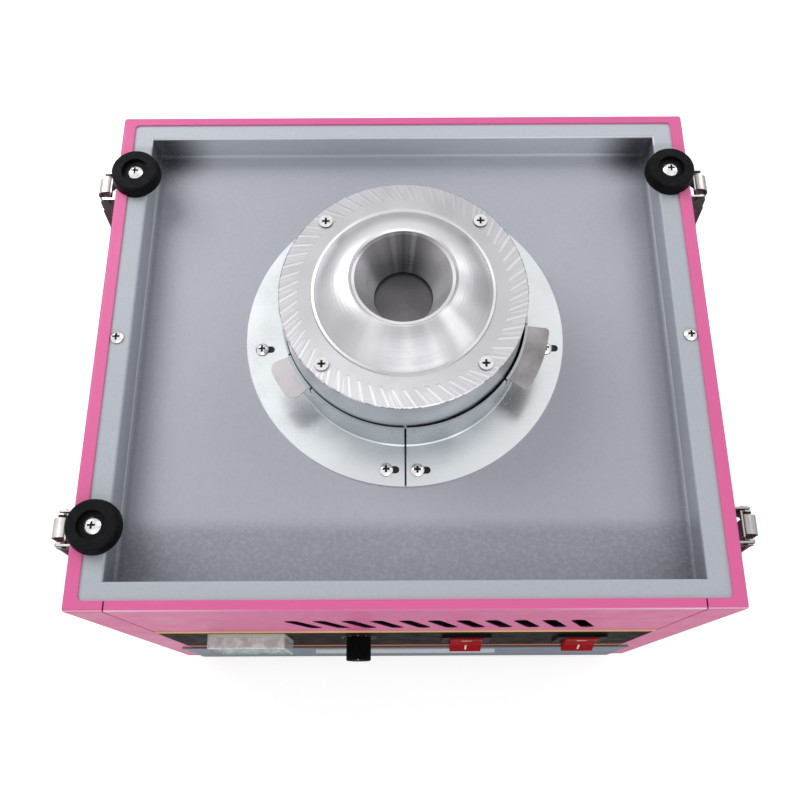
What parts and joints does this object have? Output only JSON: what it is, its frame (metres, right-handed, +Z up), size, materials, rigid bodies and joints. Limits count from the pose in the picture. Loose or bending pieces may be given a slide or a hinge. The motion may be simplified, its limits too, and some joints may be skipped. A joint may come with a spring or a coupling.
{
  "type": "candy floss machine",
  "caption": "Countertop electric candy floss machine: sheet cabinet with a sunken top tray, a guarded spinner head, bowl bumpers and latches, a control band and a front drawer.",
  "frame": {"origin": "middle of the machine's bounding box, on the table under the feet", "axes": "+Z up, +X to the right of someone who faces the front, the front looks towards -Y"},
  "size_m": [0.4224, 0.354, 0.374],
  "materials": {
    "pink_paint": "satin",
    "tray_sheet": "satin",
    "galvanised": "satin",
    "cast_aluminium": "satin",
    "collar_sheet": "satin",
    "nickel": "polished",
    "steel": "satin",
    "screw_steel": "polished",
    "black_rubber": "matte",
    "black_plastic": "satin",
    "red_plastic": "gloss",
    "overlay_print": "satin",
    "clear_plastic": "gloss",
    "dial_white": "matte",
    "needle_black": "matte",
    "heater_alloy": "satin",
    "insulator": "matte",
    "copper": "satin",
    "brass": "satin",
    "carbon": "matte",
    "motor_paint": "satin",
    "laminations": "satin",
    "white_plastic": "satin",
    "board_green": "satin",
    "front_steel": "satin",
    "pull_metal": "satin"
  },
  "bodies": {
    "cabinet": {"cabinet_wrap": "pink_paint", "front_panel": "pink_paint", "control_overlay": "overlay_print", "top_tray": "tray_sheet", "tray_rails": "galvanised", "bottom_plate": "galvanised", "feet": "black_rubber", "pan_screws": "screw_steel", "collar_left": "collar_sheet", "collar_right": "collar_sheet", "bumpers": "black_rubber", "brush_holders": "insulator", "brushes": "carbon", "motor_plate": "galvanised", "motor_isolators": "black_rubber", "motor_housing": "motor_paint", "motor_end_cap": "motor_paint", "motor_bearings": "steel", "motor_stator": "laminations", "meter_housing": "black_plastic", "meter_window": "clear_plastic", "meter_dial": "dial_white", "heat_regulator": "galvanised", "power_switch": "black_plastic", "heat_switch": "black_plastic", "control_board": "board_green", "terminal_block": "white_plastic", "power_inlet": "black_plastic", "inlet_pins": "brass", "drawer_runners": "galvanised", "latch_bases": "nickel", "latch_rivets": "nickel"},
    "spinner": {"head_base": "cast_aluminium", "head_cover": "cast_aluminium", "head_screws": "screw_steel", "sugar_funnel": "steel", "heating_ring": "heater_alloy", "hub_cap": "steel", "spindle": "steel", "slip_ring_hub": "insulator", "slip_rings": "copper", "motor_rotor": "laminations", "motor_fan": "black_plastic"},
    "drawer": {"drawer_floor": "galvanised", "drawer_walls": "galvanised", "drawer_front": "front_steel", "drawer_pull": "pull_metal"},
    "regulator": {"regulator_shaft": "brass", "heat_knob": "black_plastic"},
    "power_rocker": {"power_rocker": "red_plastic"},
    "heat_rocker": {"heat_rocker": "red_plastic"},
    "needle": {"meter_needle": "needle_black"},
    "lever_rear_right": {"latch_lever_rear_right": "nickel"},
    "bail_rear_right": {"latch_bail_rear_right": "nickel"},
    "lever_rear_left": {"latch_lever_rear_left": "nickel"},
    "bail_rear_left": {"latch_bail_rear_left": "nickel"},
    "lever_front_right": {"latch_lever_front_right": "nickel"},
    "bail_front_right": {"latch_bail_front_right": "nickel"},
    "lever_front_left": {"latch_lever_front_left": "nickel"},
    "bail_front_left": {"latch_bail_front_left": "nickel"}
  },
  "joints": [
    {"name": "head_spin", "type": "hinge", "parent": "cabinet", "child": "spinner", "pos_m": [0, 0.018, 0.3], "axis": [0, 0, 1], "continuous": true},
    {"name": "drawer_slide", "type": "slide", "parent": "cabinet", "child": "drawer", "axis": [0, -1, 0], "range_m": [0, 0.2]},
    {"name": "regulator_turn", "type": "hinge", "parent": "cabinet", "child": "regulator", "pos_m": [-0.033, -0.165, 0.171], "axis": [0, 1, 0], "range_deg": [-135, 135]},
    {"name": "power_rock", "type": "hinge", "parent": "cabinet", "child": "power_rocker", "pos_m": [0.043, -0.1575, 0.171], "axis": [1, 0, 0], "range_deg": [0, 24]},
    {"name": "heat_rock", "type": "hinge", "parent": "cabinet", "child": "heat_rocker", "pos_m": [0.1235, -0.1575, 0.171], "axis": [1, 0, 0], "range_deg": [0, 24]},
    {"name": "needle_swing", "type": "hinge", "parent": "cabinet", "child": "needle", "pos_m": [-0.1086, -0.165, 0.1605], "axis": [0, 1, 0], "range_deg": [0, 90], "stiffness_Nm_per_rad": 0.0003, "springref_deg": -17.19},
    {"name": "lever_swing_rear_right", "type": "hinge", "parent": "cabinet", "child": "lever_rear_right", "pos_m": [0.2015, 0.125, 0.303], "axis": [0, -1, 0], "range_deg": [0, 100]},
    {"name": "bail_swing_rear_right", "type": "hinge", "parent": "lever_rear_right", "child": "bail_rear_right", "pos_m": [0.2025, 0.125, 0.295], "axis": [0, 1, 0], "range_deg": [0, 100]},
    {"name": "lever_swing_rear_left", "type": "hinge", "parent": "cabinet", "child": "lever_rear_left", "pos_m": [-0.2015, 0.125, 0.303], "axis": [0, 1, 0], "range_deg": [0, 100]},
    {"name": "bail_swing_rear_left", "type": "hinge", "parent": "lever_rear_left", "child": "bail_rear_left", "pos_m": [-0.2025, 0.125, 0.295], "axis": [0, -1, 0], "range_deg": [0, 100]},
    {"name": "lever_swing_front_right", "type": "hinge", "parent": "cabinet", "child": "lever_front_right", "pos_m": [0.2015, -0.111, 0.303], "axis": [0, -1, 0], "range_deg": [0, 100]},
    {"name": "bail_swing_front_right", "type": "hinge", "parent": "lever_front_right", "child": "bail_front_right", "pos_m": [0.2025, -0.111, 0.295], "axis": [0, 1, 0], "range_deg": [0, 100]},
    {"name": "lever_swing_front_left", "type": "hinge", "parent": "cabinet", "child": "lever_front_left", "pos_m": [-0.2015, -0.111, 0.303], "axis": [0, 1, 0], "range_deg": [0, 100]},
    {"name": "bail_swing_front_left", "type": "hinge", "parent": "lever_front_left", "child": "bail_front_left", "pos_m": [-0.2025, -0.111, 0.295], "axis": [0, -1, 0], "range_deg": [0, 100]}
  ],
  "couplings": [
    {"joint": "bail_swing_rear_right", "follows": "lever_swing_rear_right", "ratio": 1},
    {"joint": "bail_swing_rear_left", "follows": "lever_swing_rear_left", "ratio": 1},
    {"joint": "bail_swing_front_right", "follows": "lever_swing_front_right", "ratio": 1},
    {"joint": "bail_swing_front_left", "follows": "lever_swing_front_left", "ratio": 1}
  ]
}
